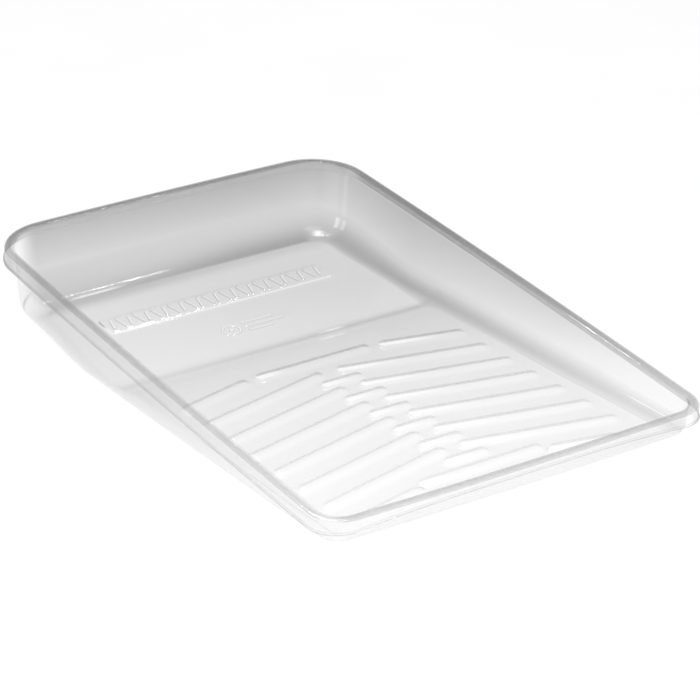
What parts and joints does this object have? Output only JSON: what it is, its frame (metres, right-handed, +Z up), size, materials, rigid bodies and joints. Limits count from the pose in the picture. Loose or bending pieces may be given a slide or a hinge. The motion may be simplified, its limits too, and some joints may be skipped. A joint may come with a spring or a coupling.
{
  "type": "paint roller tray",
  "caption": "Thin clear plastic paint tray for a roller: a deep rounded well at one end, a sloping ramp with raised herringbone roll-off bars, drafted walls and a turned-down rim",
  "frame": {"origin": "under the middle of the rim, level with the underside of the well floor, with the rim level", "axes": "+Z up; +Y towards the deep end, so the ramp climbs towards -Y; +X across the tray"},
  "size_m": [0.272, 0.4284, 0.0508],
  "materials": {
    "clear_plastic": "glossy transparent formed sheet, slightly grey at the edges and in the steep walls"
  },
  "bodies": {
    "root": {"tray": "clear_plastic"}
  },
  "joints": []
}
